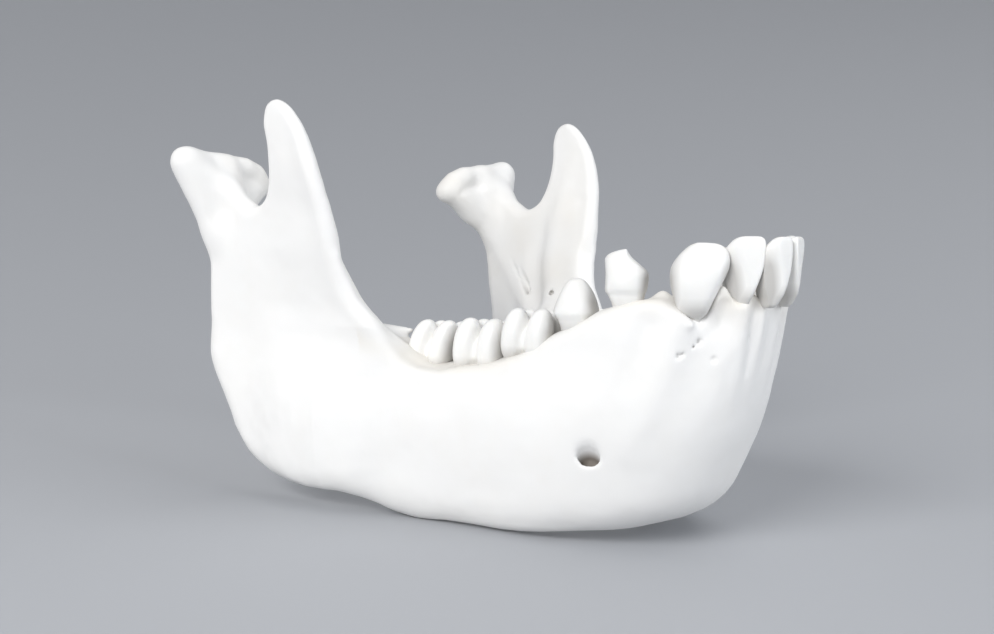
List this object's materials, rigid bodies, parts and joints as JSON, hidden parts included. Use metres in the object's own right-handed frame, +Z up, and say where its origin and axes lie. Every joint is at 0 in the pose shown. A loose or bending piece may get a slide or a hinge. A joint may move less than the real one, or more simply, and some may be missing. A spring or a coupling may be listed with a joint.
{
  "type": "gorilla lower jawbone",
  "caption": "Lower jawbone of a gorilla with its teeth: a deep curved body, two upright rami with condyles and tall coronoid processes.",
  "frame": {"origin": "on the floor under the middle of the bone, as it rests on its lower border", "axes": "+X towards the incisors, +Y to the animal's left, +Z up"},
  "size_m": [0.1392, 0.127, 0.0948],
  "materials": {
    "bone": "dry cleaned bone and tooth, faintly satin",
    "process_bone": "dry cleaned bone, faintly satin"
  },
  "bodies": {
    "root": {"body_with_teeth": "bone", "ramus_left": "bone", "ramus_right": "bone", "condylar_process_left": "process_bone", "condylar_process_right": "process_bone", "coronoid_process_left": "process_bone", "coronoid_process_right": "process_bone"}
  },
  "joints": []
}
